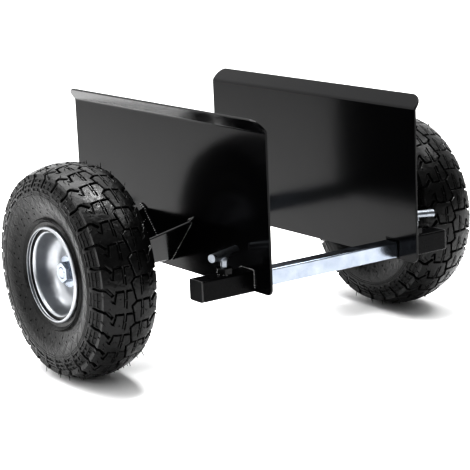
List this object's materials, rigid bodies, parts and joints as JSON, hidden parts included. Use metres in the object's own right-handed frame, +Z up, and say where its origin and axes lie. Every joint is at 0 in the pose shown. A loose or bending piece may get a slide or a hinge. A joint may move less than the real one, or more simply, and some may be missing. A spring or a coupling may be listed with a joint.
{
  "type": "panel dolly",
  "caption": "Adjustable two-wheel panel dolly: flanged side plates on square cross tubes, pneumatic wheels outboard, T-handle clamp screws.",
  "frame": {"origin": "on the floor, midway between the wheels and directly under the wheel axles", "axes": "+X across the dolly to the right-hand wheel along the wheel axles, +Y to the rear along the load, +Z up"},
  "size_m": [0.576, 0.42, 0.3174],
  "materials": {
    "gloss_black_paint": "glossy black powder coat",
    "satin_black_paint": "satin black powder coat",
    "black_plastic": "moulded black plastic",
    "zinc_plate": "bright zinc plate",
    "rim_steel": "pressed and galvanised steel",
    "bearing_steel": "ground bearing steel",
    "seal_rubber": "moulded seal rubber",
    "tyre_rubber": "moulded black rubber",
    "tube_rubber": "smooth black rubber"
  },
  "bodies": {
    "cross_bars": {"cross_tube_front": "zinc_plate", "cross_tube_rear": "zinc_plate"},
    "side_left": {"side_plate_left": "gloss_black_paint", "sleeve_front_left": "satin_black_paint", "sleeve_rear_left": "satin_black_paint", "sleeve_plugs_left": "black_plastic", "clamp_nuts_left": "gloss_black_paint", "axle_bracket_left": "gloss_black_paint", "stub_axle_left": "zinc_plate", "bearing_inner_rings_left": "bearing_steel", "bearing_spacer_left": "bearing_steel", "cover_washer_left": "zinc_plate", "axle_nut_left": "zinc_plate"},
    "wheel_left": {"tyre_left": "tyre_rubber", "inner_tube_left": "tube_rubber", "rim_outer_left": "rim_steel", "rim_inner_left": "rim_steel", "hub_tube_left": "rim_steel", "bearing_outer_rings_left": "bearing_steel", "bearing_balls_left": "bearing_steel", "bearing_seals_left": "seal_rubber", "valve_stem_left": "tube_rubber", "valve_cap_left": "black_plastic"},
    "clamp_screw_front_left": {"clamp_spindle_front_left": "zinc_plate"},
    "clamp_handle_front_left": {"clamp_bar_front_left": "zinc_plate"},
    "clamp_screw_rear_left": {"clamp_spindle_rear_left": "zinc_plate"},
    "clamp_handle_rear_left": {"clamp_bar_rear_left": "zinc_plate"},
    "side_right": {"side_plate_right": "gloss_black_paint", "sleeve_front_right": "satin_black_paint", "sleeve_rear_right": "satin_black_paint", "sleeve_plugs_right": "black_plastic", "clamp_nuts_right": "gloss_black_paint", "axle_bracket_right": "gloss_black_paint", "stub_axle_right": "zinc_plate", "bearing_inner_rings_right": "bearing_steel", "bearing_spacer_right": "bearing_steel", "cover_washer_right": "zinc_plate", "axle_nut_right": "zinc_plate"},
    "wheel_right": {"tyre_right": "tyre_rubber", "inner_tube_right": "tube_rubber", "rim_outer_right": "rim_steel", "rim_inner_right": "rim_steel", "hub_tube_right": "rim_steel", "bearing_outer_rings_right": "bearing_steel", "bearing_balls_right": "bearing_steel", "bearing_seals_right": "seal_rubber", "valve_stem_right": "tube_rubber", "valve_cap_right": "black_plastic"},
    "clamp_screw_front_right": {"clamp_spindle_front_right": "zinc_plate"},
    "clamp_handle_front_right": {"clamp_bar_front_right": "zinc_plate"},
    "clamp_screw_rear_right": {"clamp_spindle_rear_right": "zinc_plate"},
    "clamp_handle_rear_right": {"clamp_bar_rear_right": "zinc_plate"}
  },
  "joints": [
    {"name": "width_left", "type": "slide", "parent": "cross_bars", "child": "side_left", "axis": [-1, 0, 0], "range_m": [-0.008, 0.01]},
    {"name": "wheel_spin_left", "type": "hinge", "parent": "side_left", "child": "wheel_left", "pos_m": [-0.245, 0, 0.13], "axis": [1, 0, 0], "continuous": true},
    {"name": "clamp_feed_front_left", "type": "slide", "parent": "side_left", "child": "clamp_screw_front_left", "axis": [0, 0, 1], "range_m": [0, 0.003]},
    {"name": "clamp_turn_front_left", "type": "hinge", "parent": "clamp_screw_front_left", "child": "clamp_handle_front_left", "pos_m": [-0.145, -0.166, 0.1605], "axis": [0, 0, 1], "range_deg": [0, 720]},
    {"name": "clamp_feed_rear_left", "type": "slide", "parent": "side_left", "child": "clamp_screw_rear_left", "axis": [0, 0, 1], "range_m": [0, 0.003]},
    {"name": "clamp_turn_rear_left", "type": "hinge", "parent": "clamp_screw_rear_left", "child": "clamp_handle_rear_left", "pos_m": [-0.145, 0.166, 0.1605], "axis": [0, 0, 1], "range_deg": [0, 720]},
    {"name": "width_right", "type": "slide", "parent": "cross_bars", "child": "side_right", "axis": [1, 0, 0], "range_m": [-0.008, 0.01]},
    {"name": "wheel_spin_right", "type": "hinge", "parent": "side_right", "child": "wheel_right", "pos_m": [0.245, 0, 0.13], "axis": [1, 0, 0], "continuous": true},
    {"name": "clamp_feed_front_right", "type": "slide", "parent": "side_right", "child": "clamp_screw_front_right", "axis": [0, 0, 1], "range_m": [0, 0.003]},
    {"name": "clamp_turn_front_right", "type": "hinge", "parent": "clamp_screw_front_right", "child": "clamp_handle_front_right", "pos_m": [0.145, -0.166, 0.1605], "axis": [0, 0, 1], "range_deg": [0, 720]},
    {"name": "clamp_feed_rear_right", "type": "slide", "parent": "side_right", "child": "clamp_screw_rear_right", "axis": [0, 0, 1], "range_m": [0, 0.003]},
    {"name": "clamp_turn_rear_right", "type": "hinge", "parent": "clamp_screw_rear_right", "child": "clamp_handle_rear_right", "pos_m": [0.145, 0.166, 0.1605], "axis": [0, 0, 1], "range_deg": [0, 720]}
  ],
  "couplings": [
    {"joint": "clamp_turn_front_left", "follows": "clamp_feed_front_left", "rad_per_m": 4188.8},
    {"joint": "clamp_turn_rear_left", "follows": "clamp_feed_rear_left", "rad_per_m": 4188.8},
    {"joint": "clamp_turn_front_right", "follows": "clamp_feed_front_right", "rad_per_m": 4188.8},
    {"joint": "clamp_turn_rear_right", "follows": "clamp_feed_rear_right", "rad_per_m": 4188.8}
  ]
}
